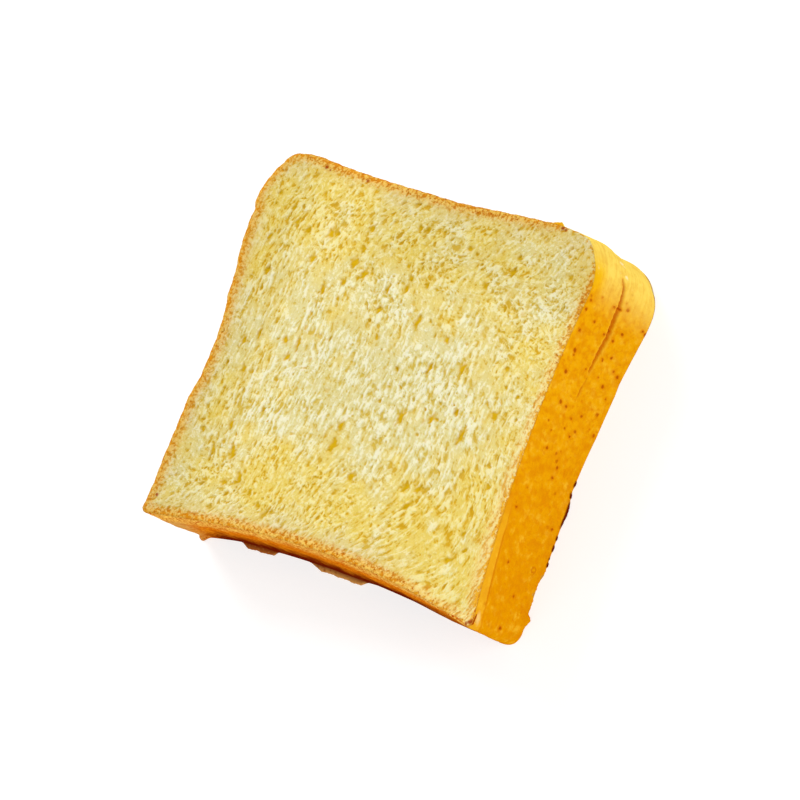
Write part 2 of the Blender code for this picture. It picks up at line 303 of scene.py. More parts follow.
def bump_height(station, depth):
    """How far the single bumps push the crust out."""
    height = np.zeros_like(station)
    for at_station, at_depth, length, width, rise in BUMPS:
        along = (np.mod(station - at_station + 2, 4) - 2) * STATION_LENGTH / length
        across = (depth - at_depth) * THICKNESS / width
        height += rise * np.exp(-along ** 2 - across ** 2)
    return height


def flake_drop(station, depth):
    """How far the torn flakes under the back edge stand out."""
    drop = np.zeros_like(station)
    for start, end, full_drop in FLAKES:
        part = (station - start) / (end - start)
        length = ramp(part, 0, 0.25) * ramp(1 - part, 0, 0.12) * (0.88 + 0.12 * uneven(station))
        ledge = ramp(1.5 - depth * THICKNESS, 0, 0.8)
        drop = np.maximum(drop, full_drop * np.clip(length, 0, 1) * ledge)
    return drop


def burnt_rim(station, depth):
    """The bits that stand out of the right side's back edge, painted near black as shade."""
    height = np.zeros_like(station)
    for at_station, length, proud in SHADED_EDGE_BITS:
        along = (station - at_station) * STATION_LENGTH / length
        ledge = ramp(1.3 - depth * THICKNESS, 0, 0.7)
        height = np.maximum(height, proud * np.exp(-along ** 4) * ledge * (0.8 + 0.3 * uneven(station)))
    return height


def torn_edge(station, depth):
    """The ragged back edge of the right side, low down."""
    low_down = ramp(station, 1.02, 1.08) * ramp(1.25 - station, 0, 0.05)
    return low_down * 0.35 * uneven(station) * ramp(6 - depth * THICKNESS, 0, 6)


# Colours, as the eye sees them on screen, 0 to 255

# How much brighter than its own colour a piece looks in the studio's light
LIGHT = 1.1
DARKEST_CURVED = 10
DARK_SLOPE = 3295


def colour(*parts):
    """A colour for a shader, from how it looks in the studio's light."""
    return (*(
        ((part / 255 + 0.055) / 1.055) ** 2.4 / LIGHT if part > DARKEST_CURVED else part / DARK_SLOPE
        for part in parts
    ), 1)


# The crest colours are partly painted highlight, the pit and pore colours partly painted shade.
CRUMB_CREST = colour(249, 244, 208)
CRUMB_MID = colour(232, 219, 154)
CRUMB_PIT = colour(219, 190, 84)
BUTTER_CREST = colour(248, 233, 160)
BUTTER_MID = colour(238, 211, 104)
BUTTER_PIT = colour(220, 172, 34)
CRUMB_PORE = colour(222, 178, 12)
CRUMB_DENSE = colour(230, 202, 132)
CRUMB_CREAM = colour(250, 226, 150)
CRUST_GOLD = colour(237, 166, 6)
CRUST_LIGHT = colour(246, 188, 44)
CRUST_DEEP = colour(229, 151, 0)
CRUST_YELLOW = colour(250, 196, 20)
CRUST_PALE = colour(252, 218, 96)
CRUST_SCUFF = colour(252, 228, 160)
CRUST_AMBER = colour(222, 136, 4)
CRUST_BROWN = colour(200, 100, 6)
CRUST_RUSSET = colour(218, 118, 2)
UNDER_BROWN = colour(200, 88, 2)
UNDER_GOLD = colour(234, 142, 20)
CRUST_RED = colour(170, 72, 4)
CRUST_TAN = colour(224, 164, 84)
CRUST_TAN_DARK = colour(206, 142, 60)
CRUST_FLAKE = colour(214, 150, 76)
CRUST_RUST = colour(168, 92, 34)
# Near black: scorching with painted shade at the back of the bottom, and painted shade on the back edge's
# bits
CRUST_SCORCH_SHADE = colour(104, 22, 2)
RIM_LINE = colour(240, 158, 14)
# Painted highlight of the face's edge next to the crust
RIM_SHINE = colour(249, 188, 44)
RIM_THREAD = colour(200, 112, 16)
RIM_GOLD = colour(222, 156, 30)
RIM_PALE = colour(240, 192, 94)
RIM_PEACH = colour(232, 170, 66)
RIM_CREAM = colour(255, 208, 92)
RIM_BROWN = colour(206, 116, 0)
RIM_SPECK = colour(176, 78, 4)
SHADE = (0, 0, 0, 1)


class Recipe:
    """Adds nodes to a tree and joins them up."""

    def __init__(self, tree):
        self.tree = tree

    def node(self, kind, wires=(), **settings):
        node = self.tree.nodes.new(kind)
        for name, value in settings.items():
            setattr(node, name, value)
        for key, value in dict(wires).items():
            if isinstance(value, bpy.types.NodeSocket):
                self.tree.links.new(value, node.inputs[key])
            else:
                node.inputs[key].default_value = value
        return node

    def math(self, operation, first, second=0.0, clamp=False):
        wires = {0: first, 1: second}
        return self.node("ShaderNodeMath", wires, operation=operation, use_clamp=clamp).outputs[0]

    def add(self, *values):
        """The sum of the values, where a tuple stands for the product of what it holds."""
        values = (self.times(*value) if isinstance(value, tuple) else value for value in values)
        return functools.reduce(functools.partial(self.math, "ADD"), values)

    def times(self, *values):
        """The product of the values, where a tuple stands for a spread."""
        values = (self.spread(*value) if isinstance(value, tuple) else value for value in values)
        return functools.reduce(functools.partial(self.math, "MULTIPLY"), values)

    def swing(self, noise, amount=1.0):
        """A noise as a number from about minus half the amount to plus half of it."""
        centred = self.add(noise, -0.5)
        return centred if amount == 1.0 else self.times(centred, amount)

    def spread(self, value, low, high, start=0.0, end=1.0):
        """Smoothly from start where the value is low to end where it is high."""
        wires = {0: value, 1: low, 2: high, 3: start, 4: end}
        return self.node("ShaderNodeMapRange", wires, interpolation_type="SMOOTHSTEP").outputs[0]

    def vector(self, x, y, z=0.0):
        return self.node("ShaderNodeCombineXYZ", {0: x, 1: y, 2: z}).outputs[0]

    def scaled(self, vector, sizes):
        wires = {0: vector, 1: sizes}
        return self.node("ShaderNodeVectorMath", wires, operation="MULTIPLY").outputs[0]

    def shifted(self, vector, by):
        return self.node("ShaderNodeVectorMath", {0: vector, 1: by}, operation="ADD").outputs[0]

    def swung(self, noise, sizes):
        """A coloured noise as a push of up to half the sizes either way."""
        return self.scaled(self.shifted(noise, (-0.5, -0.5, -0.5)), sizes)

    def measure(self, operation, *vectors):
        """A number from vectors, such as a distance."""
        node = self.node("ShaderNodeVectorMath", dict(enumerate(vectors)), operation=operation)
        return node.outputs["Value"]

    def noise(self, vector, scale=1.0, detail=1.0, roughness=0.5, output=0):
        wires = {"Vector": vector, "Scale": scale, "Detail": detail, "Roughness": roughness}
        return self.node("ShaderNodeTexNoise", wires).outputs[output]

    def stretched(self, vector, sizes, *kind, **output):
        """Noise whose patches have these sizes."""
        return self.noise(self.scaled(vector, tuple(1 / size for size in sizes)), 1.0, *kind, **output)

    def cells(self, vector, dimensions="2D"):
        wires = {"Vector": vector, "Scale": 1.0, "Randomness": 1.0}
        return self.node("ShaderNodeTexVoronoi", wires, voronoi_dimensions=dimensions)

    def parts(self, vector):
        return self.node("ShaderNodeSeparateXYZ", {0: vector}).outputs

    def blend(self, part, first, second):
        """Between two numbers."""
        return self.node("ShaderNodeMix", {0: part, 2: first, 3: second}).outputs[0]

    def mix(self, part, first, second):
        """Between two colours."""
        node = self.node("ShaderNodeMix", {0: part, 6: first, 7: second}, data_type="RGBA")
        return node.outputs[2]


class Relief(Recipe):
    """A Geometry Nodes tree that moves the points of a mesh."""

    def __init__(self, name, sizes):
        super().__init__(bpy.data.node_groups.new(name, "GeometryNodeTree"))
        interface = self.tree.interface
        interface.new_socket("Geometry", in_out="INPUT", socket_type="NodeSocketGeometry")
        self.sizes = sizes
        for label in sizes:
            interface.new_socket(label, in_out="INPUT", socket_type="NodeSocketFloat")
        interface.new_socket("Geometry", in_out="OUTPUT", socket_type="NodeSocketGeometry")
        self.given = self.node("NodeGroupInput").outputs
        self.geometry = self.given["Geometry"]

    def named(self, name):
        node = self.node("GeometryNodeInputNamedAttribute", {"Name": name}, data_type="FLOAT")
        return node.outputs[0]

    def move(self, offset):
        wires = {"Geometry": self.geometry, "Offset": offset}
        self.geometry = self.node("GeometryNodeSetPosition", wires).outputs[0]

    def finish(self, material):
        wires = {"Geometry": self.geometry}
        realized = self.node("GeometryNodeRealizeInstances", wires).outputs[0]
        wires = {"Geometry": realized, "Material": material}
        coated = self.node("GeometryNodeSetMaterial", wires).outputs[0]
        self.node("NodeGroupOutput", {"Geometry": coated})

    def shape(self, name, mesh):
        """Run the tree on a mesh and return the plain result as an object."""
        blank = bpy.data.objects.new(name + "_blank", mesh)
        bpy.context.scene.collection.objects.link(blank)
        modifier = blank.modifiers.new("relief", "NODES")
        modifier.node_group = self.tree
        for item in self.tree.interface.items_tree:
            if item.in_out == "INPUT" and item.name in self.sizes:
                modifier[item.identifier] = float(self.sizes[item.name])
        bpy.context.view_layer.update()
        evaluated = blank.evaluated_get(bpy.context.evaluated_depsgraph_get())
        plain = bpy.data.meshes.new_from_object(evaluated)
        plain.name = name
        bpy.data.objects.remove(blank)
        bpy.data.meshes.remove(mesh)
        plain.shade_smooth()
        piece = bpy.data.objects.new(name, plain)
        bpy.context.scene.collection.objects.link(piece)
        return piece


# Meshes of the three pieces

def mesh_from(name, points, faces, **values):
    """A mesh of millimetre points about the outline's middle, with a value of each kind per point."""
    points = np.array(points, float)
    points[:, :2] -= MIDDLE
    mesh = bpy.data.meshes.new(name)
    mesh.from_pydata((points * MM).tolist(), [], faces)
    for label, value in values.items():
        attribute = mesh.attributes.new(label, "FLOAT", "POINT")
        attribute.data.foreach_set("value", np.asarray(value, np.float32))
    mesh.update()
    return mesh


def made_up(count, **kinds):
    """Values made up to a number of points: those of the places given, then one for the rest."""
    return {label: np.append(given, np.full(count - len(given), float(rest)))
            for label, (given, rest) in kinds.items()}


def quads(rows, columns, closed):
    """Faces between rows of points, each row closed into a ring or not."""
    faces = []
    for row in range(rows - 1):
        for column in range(columns if closed else columns - 1):
            after = (column + 1) % columns
            a, b = row * columns + column, row * columns + after
            faces.append((a, b, b + columns, a + columns))
    return faces


def edge_loop(steps):
    """Indices round the border of a square grid, from its lowest corner."""
    side = steps + 1
    bottom = list(range(0, steps))
    right = [steps + side * row for row in range(steps)]
    top = [steps * side + steps - column for column in range(steps)]
    left = [side * (steps - row) for row in range(steps)]
    return bottom + right + top + left


def cut_face_grid(steps, depth):
    """A square grid drawn out to the outline: its points, and each one's place from the rim."""
    line = np.linspace(-1, 1, steps + 1)
    u, v = (grid.ravel() for grid in np.meshgrid(line, line))
    ring = np.maximum(np.abs(u), np.abs(v))
    safe = np.maximum(ring, 1e-6)
    a, b = u / safe, v / safe
    top_or_left = np.where(b >= 1, 2 + (1 - a) / 2, 3 + (1 - b) / 2)
    station = np.where(b <= -1, (a + 1) / 2, np.where(a >= 1, 1 + (b + 1) / 2, top_or_left))
    round_u, round_v = rounded_square(station, np.full_like(station, depth))
    pull = ramp(ring, 0.45, 1.0)
    x, y = warp(ring * blend(a, round_u, pull), ring * blend(b, round_v, pull), depth)
    level = np.full_like(station, depth)
    out_x, out_y = outward(station, level)
    out = sway(station, level) * ramp(ring, 0.7, 1.0)
    return x + out_x * out, y + out_y * out


def rim_places(x, y, depth):
    """How far each place is from the rim, and the station of the rim nearest to it."""
    stations = np.linspace(0, 4, 4001)[:-1]
    rim_x, rim_y = outline(stations, np.full_like(stations, depth))
    tree = kdtree.KDTree(len(stations))
    for index, place in enumerate(zip(rim_x, rim_y)):
        tree.insert((*place, 0), index)
    tree.balance()
    found = [tree.find((px, py, 0)) for px, py in zip(x, y)]
    return np.array([item[2] for item in found]), stations[[item[1] for item in found]]


def grain_lean(x, y):
    """Which way the crumb's fibres run, as the angle from the slice's height towards its right."""
    left_dip = np.exp(-((x + 31) / 15) ** 2 - ((y + 30) / 17) ** 2)
    left_middle = np.exp(-((x + 30) / 16) ** 2 - ((y - 8) / 22) ** 2)
    lower_right = ramp(-y, 16, 42) * ramp(x, -14, 14)
    along_bottom = ramp(-y, 42, 55)
    below_top = ramp(y, 26, 46) * np.exp(-((x - 5) / 38) ** 2)
    lean = 9 + 0.1 * x - 24 * left_dip - 12 * left_middle
    lean = lean + 42 * lower_right + 30 * along_bottom + 36 * below_top
    return np.radians(blend(lean, 4, 0.8 * ramp(x, 44, 57)))


def laid_along(slope_x, slope_y, start):
    """The smooth field whose slopes come nearest to those wanted, on the grid of the grain."""
    field = start.copy()
    bend = np.gradient(slope_x, GRAIN_CELL, axis=1) + np.gradient(slope_y, GRAIN_CELL, axis=0)
    bend = bend[1:-1, 1:-1] * GRAIN_CELL ** 2
    for _ in range(SETTLING_STEPS):
        field[0] = field[1] - slope_y[0] * GRAIN_CELL
        field[-1] = field[-2] + slope_y[-1] * GRAIN_CELL
        field[:, 0] = field[:, 1] - slope_x[:, 0] * GRAIN_CELL
        field[:, -1] = field[:, -2] + slope_x[:, -1] * GRAIN_CELL
        beside = field[1:-1, 2:] + field[1:-1, :-2] + field[2:, 1:-1] + field[:-2, 1:-1]
        field[1:-1, 1:-1] = (beside - bend) / 4
    return field


def grain_places(x, y):
    """Where places lie across and along the crumb's fibres, in millimetres."""
    line = (np.arange(GRAIN_CELLS) - (GRAIN_CELLS - 1) / 2) * GRAIN_CELL
    grid_x, grid_y = np.meshgrid(line, line)
    lean = grain_lean(grid_x, grid_y)
    across = laid_along(np.cos(lean), -np.sin(lean), grid_x)
    along = laid_along(np.sin(lean), np.cos(lean), grid_y)
    column, row = (place / GRAIN_CELL + (GRAIN_CELLS - 1) / 2 for place in (x, y))
    c, r = column.astype(int), row.astype(int)
    part_c, part_r = column - c, row - r

    def read(field):
        lower = blend(field[r, c], field[r, c + 1], part_c)
        upper = blend(field[r + 1, c], field[r + 1, c + 1], part_c)
        return blend(lower, upper, part_r)

    return read(across), read(along)


def around(station, kind):
    """How the rim looks at a station, joined round the slice from the values in RIM."""
    return np.interp(np.mod(station, 4), RIM["station"], RIM[kind])


def butter(x, y):
    """Where the most butter has soaked in: along the top and in a band above the bottom."""
    band = np.exp(-((y + 40 + 0.05 * x) / 13) ** 2) * ramp(x, -50, -15) * 1.35
    top = ramp(y, 5, 40) * 0.7
    left = ramp(-x, 25, 50) * 0.5
    right = ramp(x, 25, 48) * ramp(30 - y, 0, 15) * 0.6
    return np.clip(band + top + left + right, 0, 1)


def dullness(x, y):
    """Painted shade: where the crumb is painted a little darker, as if less lit: in the middle, along the
    top and on the left.
    """
    middle = 0.45 * np.exp(-(x / 30) ** 2 - (y / 24) ** 2)
    return np.clip(middle + ramp(y, 22, 44) * ramp(x, -30, -5) + ramp(-x, 32, 50), 0, 1)


def coarseness(x, y, rim):
    """Where the crumb is torn into long fibres, and where it stays finer and rounder."""
    top_left = ramp(np.hypot((x + 14) / 58, (y - 52) / 42), 1.1, 0.4)
    top_right = ramp(np.hypot((x - 50) / 32, (y - 40) / 34), 1.1, 0.4)
    above_bottom = np.exp(-((y + 47) / 16) ** 2) * ramp(26 - x, 0, 20)
    torn = 1 - 0.85 * np.maximum(np.maximum(top_left, top_right), above_bottom)
    return torn * blend(ramp(rim, 1, 8), 0.7, ramp(x, 30, 48))


def open_holes(x, y):
    """How deep a place lies in one of the largest open cells, from 0 to 1."""
    deepest = np.zeros_like(x)
    ragged = 1 + 0.22 * np.sin(2.3 * x + 1.7 * y) + 0.15 * np.sin(4.1 * x - 3.3 * y)
    for at_x, at_y, width, length in HOLES:
        lean, dx, dy = grain_lean(at_x, at_y), x - at_x, y - at_y
        across = (dx * np.cos(lean) - dy * np.sin(lean)) / width
        along = (dx * np.sin(lean) + dy * np.cos(lean)) / length
        deepest = np.maximum(deepest, 1 - ramp(np.hypot(across, along) * ragged, 0.6, 1.5))
    return deepest


def face_specks(x, y):
    """How dark the scorched specks make a place of the face, from 0 to 1."""
    darkest = np.zeros_like(x)
    for at_x, at_y, radius in SPECKS:
        away = np.hypot(x - at_x, y - at_y)
        darkest = np.maximum(darkest, 1 - ramp(away, radius * 0.6, radius * 1.2))
    return darkest


def cut_face(name, steps, depth, facing):
    """One of the two cut faces, as a closed slab whose outer side gets the crumb's relief."""
    x, y = cut_face_grid(steps, depth)
    rim, station = rim_places(x, y, depth)
    across, along = grain_places(x, y)
    level = depth * THICKNESS
    edge_drop = EDGE_DROP * ramp(0.9 - rim, 0, 0.9)
    from_notch = np.hypot(x - NOTCH[0], y - NOTCH[1])
    notch = NOTCH_CUT * np.exp(-(from_notch / NOTCH_RADIUS) ** 2) * depth
    z = level - facing * (edge_drop + notch)
    loop = np.array(edge_loop(steps))
    length = np.hypot(x[loop], y[loop])
    points, rings = [np.stack([x, y, z], axis=1)], [loop.tolist()]
    for inset, drop in FACE_SKIRT:
        start = len(x) + len(loop) * (len(rings) - 1)
        rings.append(list(range(start, start + len(loop))))
        points.append(np.stack([x[loop] - x[loop] / length * inset, y[loop] - y[loop] / length * inset,
                                np.full(len(loop), level - facing * drop)], axis=1))
    points = np.concatenate(points)
    faces = quads(steps + 1, steps + 1, False)
    for upper, lower in zip(rings, rings[1:]):
        for index in range(len(upper)):
            after = (index + 1) % len(upper)
            faces.append((upper[after], upper[index], lower[index], lower[after]))
    faces.append(tuple(reversed(rings[-1])))
    if facing < 0:
        faces = [tuple(reversed(face)) for face in faces]
    plain = np.zeros(len(x))
    values = made_up(
        len(points),
        rim=(rim, 0),
        cream=(ramp(x, 30, 48) * ramp(45 - y, 0, 20), 0),
        across=(across, 0),
        along=(along, 0),
        outer=(plain + 1, 0),
        soak=(butter(x, y) if facing > 0 else plain + 0.15, 0),
        coarse=(coarseness(x, y, rim), 0),
        dull=(dullness(x, y), 0),
        hole=(open_holes(x, y) if facing > 0 else plain, 0),
        speck=(face_specks(x, y) if facing > 0 else plain, 0),
        line=(around(station, "line"), 1),
        toasted=(around(station, "toasted"), 1),
        char=(around(station, "char"), 0.5),
    )
    return mesh_from(name, points, faces, **values)


def crust_shell(name):
    """The crust all round, as a closed ring with an inner wall."""
    columns = 4 * CRUST_STEPS
    station = np.tile(np.arange(columns) / CRUST_STEPS, CRUST_ROWS + 1)
    depth = np.repeat(np.linspace(0, 1, CRUST_ROWS + 1), columns)
    x, y = outline(station, depth)
    out_x, out_y = outward(station, depth)
    end = np.minimum(depth, 1 - depth) * THICKNESS
    height = blend(EDGE_DROP, THICKNESS - EDGE_DROP, depth)
    crease, lip = crease_cut(station, depth)
    flake, burnt = flake_drop(station, depth), burnt_rim(station, depth)
    push = bump_height(station, depth) + flake + burnt + torn_edge(station, depth) - crease
    points = [np.stack([x + out_x * push, y + out_y * push, height], axis=1)]
    ring = np.arange(columns) / CRUST_STEPS
    turned_in = ((1.0, CRUST_LIP), (1.0, CRUST_WALL), (0.0, CRUST_WALL), (0.0, CRUST_LIP))
    for level, (inset, drop) in turned_in:
        level_of = np.full(columns, level)
        ring_x, ring_y = outline(ring, level_of)
        out_x, out_y = outward(ring, level_of)
        ring_z = np.full(columns, level * THICKNESS - math.copysign(drop, level - 0.5))
        points.append(np.stack([ring_x - out_x * inset, ring_y - out_y * inset, ring_z], axis=1))
    points = np.concatenate(points)
    rows = CRUST_ROWS + 1 + len(turned_in)
    faces = quads(rows, columns, True)
    last = (rows - 1) * columns
    for column in range(columns):
        after = (column + 1) % columns
        faces.append((last + column, last + after, after, column))
    values = made_up(
        len(points),
        station=(station, 0),
        depth=(depth, 0.5),
        outer=(ramp(end, 0.0, 2.5), 0),
        groove=(np.clip(crease / 0.6, 0, 1), 0),
        lip=(np.clip(lip, 0, 1), 0),
        flake=(np.clip(flake / 0.5, 0, 1), 0),
        burnt=(np.clip(burnt / 0.15, 0, 1), 0),
    )
    return mesh_from(name, points, faces, **values)


# Relief of the crumb and of the crust

def hollows(tree, place, width, length, share, smallest, largest):
    """Hollows of uneven size in a share of the cells: how deep a place lies, from 0 to 1."""
    cell = tree.cells(tree.scaled(place, (1 / width, 1 / length, 0)))
    red, green, blue = tree.parts(cell.outputs["Color"])
    radius = tree.spread(green, 0, 1, smallest, largest)
    depth = tree.spread(cell.outputs["Distance"], radius, tree.times(radius, 0.25))
    return tree.times(depth, tree.math("LESS_THAN", red, share), (blue, 0, 1, 0.4, 1))


def crumb_pattern(tree, seed):
    """What the crumb is like at a place: torn sheets, cell walls, finer grain and open pores."""
    coarse = tree.named("coarse")
    place = tree.vector(tree.named("across"), tree.named("along"), seed)
    drift = tree.stretched(place, (7, 10, 1), 2, output="Color")
    place = tree.shifted(place, tree.swung(drift, (2, 3, 0)))
    ruffle = tree.stretched(place, (1.8, 2.6, 1), 2, output="Color")
    ruffled = tree.shifted(place, tree.swung(ruffle, (1.6, 2.2, 0)))

    sheet = tree.stretched(place, (1.9, 7.5, 1))
    fibre = tree.stretched(place, (0.85, 3.6, 1 / 1.7))
    lobe = tree.stretched(ruffled, (1.3, 1.9, 1 / 0.6))
    bead = tree.stretched(ruffled, (0.95, 1.05, 1 / 0.9))
    middling = hollows(tree, ruffled, 2, 2.8, 0.8, 0.15, 0.5)
    little = hollows(tree, ruffled, 1.05, 1.3, 0.75, 0.15, 0.5)
    wall = tree.add(
        tree.swing(bead, tree.blend(coarse, 1.2, 0.2)),
        tree.swing(lobe, tree.blend(coarse, 0.8, 0.7)),
        tree.swing(fibre, tree.blend(coarse, 0.4, 1.4)),
        (tree.add(middling, -0.15), tree.blend(coarse, -0.45, -0.3)),
        (tree.add(little, -0.15), tree.blend(coarse, -0.4, -0.3)),
    )
    vary = tree.stretched(place, (8, 11, 1 / 1.3))
    even = tree.spread(tree.named("rim"), 1, 8, 0.85, 1)
    wall = tree.times(wall, (vary, 0.3, 0.7, 0.6, 1.35), even)
    grain = tree.swing(tree.stretched(place, (0.5, 0.6, 1 / 2.3), 1, 0.6))

    few = tree.blend(coarse, 0.6, 0.3)
    pore = hollows(tree, ruffled, 3.2, 4, few, 0.15, 0.3)
    sheet = tree.swing(sheet, tree.blend(coarse, 0.5, 1))
    return sheet, wall, grain, tree.math("MAXIMUM", pore, tree.named("hole"))


def crumb_relief(name, facing, material):
    """The nodes that tear, hollow and ripple a cut face, facing up or down."""
    sizes = {"Sheet relief": 0.35, "Wall relief": 0.55, "Pore depth": 0.55, "Swell": 1,
             "Seed": CRUMB_SEED[facing]}
    tree = Relief(name, sizes)
    rim, outer = tree.named("rim"), tree.named("outer")
    position = tree.node("GeometryNodeInputPosition").outputs[0]
    place = tree.scaled(position, (1 / MM, 1 / MM, 0))
    inside = tree.spread(rim, 0, 4)
    sheet, wall, _, pore = crumb_pattern(tree, tree.given["Seed"])
    swell = tree.noise(place, 1 / 24, 1)
    lift = tree.add(
        (sheet, tree.given["Sheet relief"], inside),
        (wall, tree.given["Wall relief"], (rim, 0, 1.5)),
        (tree.swing(swell), tree.given["Swell"], inside),
        (pore, tree.given["Pore depth"], inside, -1),
    )
    wobble = tree.noise(place, 1 / 0.9, 1, output="Color")
    sideways = tree.spread(rim, 0, 1.5, 0.1, 0.35)
    aside = tree.swung(wobble, tree.vector(sideways, sideways))
    push = tree.shifted(aside, tree.vector(0, 0, tree.times(lift, facing)))
    tree.move(tree.scaled(push, tree.vector(*[tree.times(outer, MM)] * 3)))
    tree.finish(material)
    return tree


def crust_relief(name, material):
    """The nodes that give the crust its faint streaks and shallow dents."""
    tree = Relief(name, {"Streak relief": 0.2, "Dent relief": 0.9})
    position = tree.node("GeometryNodeInputPosition").outputs[0]
    place = tree.scaled(position, (1 / MM,) * 3)
    streak = tree.stretched(place, (16, 16, 1.1), 3, 0.6)
    dent = tree.stretched(place, (9, 9, 6), 3, 0.5)
    lift = tree.add(
        tree.swing(streak, tree.given["Streak relief"]),
        tree.swing(dent, tree.given["Dent relief"]),
    )
    normal = tree.node("GeometryNodeInputNormal").outputs[0]
    tree.move(tree.scaled(normal, tree.vector(*[tree.times(lift, tree.named("outer"), MM)] * 3)))
    tree.finish(material)
    return tree


# Materials

def unrolled(station, depth):
    """A place of the crust in millimetres on the flat, where its spots are round."""
    return station * STATION_LENGTH, depth * THICKNESS / WIDE_SPOTS, 0


class Finish(Recipe):
    """A material's nodes round its Principled shader, with colours laid one over another."""

    def __init__(self, name, **fixed):
        self.material = bpy.data.materials.new(name)
        self.material.use_nodes = True
        super().__init__(self.material.node_tree)
        self.shader = self.tree.nodes["Principled BSDF"]
        for socket, value in fixed.items():
            self.shader.inputs[socket.replace("_", " ")].default_value = value
        place = self.node("ShaderNodeTexCoord").outputs["Object"]
        self.place = self.scaled(place, (1 / MM,) * 3)
        self.coats = None

    def named(self, name):
        return self.node("ShaderNodeAttribute", attribute_name=name).outputs["Fac"]

    def patches(self, size, *kind, **output):
        """Noise whose patches have this size, or these sizes, in millimetres."""
        sizes = size if isinstance(size, tuple) else (size,) * 3
        return self.stretched(self.place, sizes, *kind, **output)

    def coat(self, colour, *strengths):
        """Lay a colour over the coats so far, as strongly as the product of the strengths."""
        self.coats = self.mix(self.times(*strengths), self.coats, colour)

    def from_spots(self, place, spots):
        """How far a place of the unrolled crust is from the nearest spot's edge, in millimetres."""
        away = [self.add(self.measure("DISTANCE", place, unrolled(*at)), -radius) for *at, radius in spots]
        return functools.reduce(functools.partial(self.math, "MINIMUM"), away)

    def from_line(self, place, line):
        """How far a place of the unrolled crust is from a straight mark, 1 at the mark's border."""
        start, end = (Vector(unrolled(*at)) for at in line[:2])
        along = (end - start) / 2
        across = Vector((-along.y, along.x, 0)).normalized() / line[2]
        place = self.shifted(place, tuple(-(start + end) / 2))
        sides = (along / along.length_squared, across)
        parts = [self.measure("DOT_PRODUCT", place, tuple(side)) for side in sides]
        return self.measure("LENGTH", self.vector(*parts))

    def done(self, height, millimetres, strength):
        """The material, with its coats and its fine bumps."""
        wires = {"Height": height, "Distance": millimetres * MM, "Strength": strength}
        self.tree.links.new(self.coats, self.shader.inputs["Base Color"])
        self.tree.links.new(self.node("ShaderNodeBump", wires).outputs[0], self.shader.inputs["Normal"])
        return self.material


def crumb_body(look, pattern, patches, fine):
    """Lay on the crumb's colours, with painted highlights on its crests and painted shade in its hollows,
    and return how high or low each place lies.
    """
    sheet, wall, grain, pore = pattern
    rim, cream = look.named("rim"), look.named("cream")
    soaked = look.add(look.named("soak"), (sheet, -0.6))
    soaked = look.math("ADD", soaked, look.swing(patches, 2.2), True)
    near_rim = look.spread(rim, 12, 4)
    lie = look.add(
        (sheet, look.blend(near_rim, 0.8, 0.4)),
        (wall, 2.4),
        (grain, look.blend(near_rim, 0.8, 1.6)),
    )
    gleam = look.add((wall, 1.1), (grain, 2), (fine, look.blend(near_rim, 1, 2.2)))
    crest = look.mix(soaked, CRUMB_CREST, BUTTER_CREST)
    sunken = look.spread(lie, -0.05, -0.75)
    look.coats = look.mix(soaked, CRUMB_MID, BUTTER_MID)
    # Lighter on the crests and darker, more golden in the hollows: partly butter pooled in the hollows,
    # partly painted shade and painted highlight.
    look.coat(crest, (lie, 0.05, 0.75))
    look.coat(look.mix(soaked, CRUMB_PIT, BUTTER_PIT), sunken)
    # Painted highlights: the pale crest colour on the finest ridges, as glints.
    look.coat(crest, (gleam, 0.15, 0.7), 0.5)
    # The open pores: a darker gold, partly butter and partly painted shade.
    look.coat(CRUMB_PORE, pore)
    dense = look.spread(look.add(rim, look.swing(patches, 6)), 9, 2)
    covering = look.blend(sunken, look.blend(cream, 0.4, 0.15), 0.05)
    look.coat(look.mix(cream, CRUMB_DENSE, CRUMB_CREAM), dense, covering)
    return lie


def toasted_rim(look, lie, patches, fine):
    """Brown the crumb along its rim, where it is granular, and draw the line of crust round it, with
    painted highlights along that line and on the granules.
    """
    rim, cream, char = look.named("rim"), look.named("cream"), look.named("char")
    line, toasted = look.named("line"), look.named("toasted")
    frayed = look.patches(1.1, 3, 0.65)
    jitter = look.patches(0.8, output="Color")
    loose = look.shifted(look.place, look.scaled(jitter, (1, 1, 0)))
    apart = look.cells(look.scaled(loose, (1 / 1.05, 1 / 1.05, 0))).outputs["Distance"]
    granule = look.add((apart, -0.5), look.swing(frayed, 1.3), (lie, 0.3), (fine, 0.6))
    granule = look.blend(cream, look.spread(granule, -0.45, 0.05), look.spread(lie, -0.45, 0.35))
    edge = look.add(rim, look.swing(frayed, 3), (granule, 0.6), (lie, cream, 0.5))
    heat = look.math("DIVIDE", edge, toasted)
    dark_gold = look.mix(cream, RIM_GOLD, RIM_PEACH)
    golden = look.mix(granule, dark_gold, look.mix(cream, RIM_PALE, CRUMB_CREAM))
    browned = look.mix(granule, RIM_BROWN, RIM_CREAM)
    look.coat(golden, (heat, 1.3, 0.6), 0.5)
    look.coat(look.mix(char, golden, browned), (heat, 1.05, 0.35), look.blend(cream, 0.95, 0.6))

    # Painted highlight: a lighter gold along the edge next to the crust, and paler tops on the granules.
    shiny = look.times((look.math("DIVIDE", rim, line), 0, 0.9), cream)
    lit = look.times((granule, 0.3, 0.8), look.blend(cream, 0.6, 0.2))
    outermost = look.mix(lit, look.mix(shiny, RIM_LINE, RIM_SHINE), RIM_CREAM)
    outermost = look.mix(look.times(char, 0.25), outermost, CRUST_BROWN)
    band = look.spread(edge, look.add(line, 0.5), look.add(line, -0.2))
    look.coat(outermost, band, (line, 0.1, 0.4), look.blend(char, 0.95, 0.6))
    thread = look.spread(look.math("ABSOLUTE", look.math("SUBTRACT", edge, line)), 0.4, 0.1)
    look.coat(RIM_THREAD, thread, (patches, 0.45, 0.6), (fine, -0.02, 0.12), cream, 0.85)
    look.coat(RIM_SPECK, (look.patches(0.8, 2, 0.6), 0.56, 0.66),
                (heat, 0.8, 0.3), look.blend(char, 0.15, 0.9))


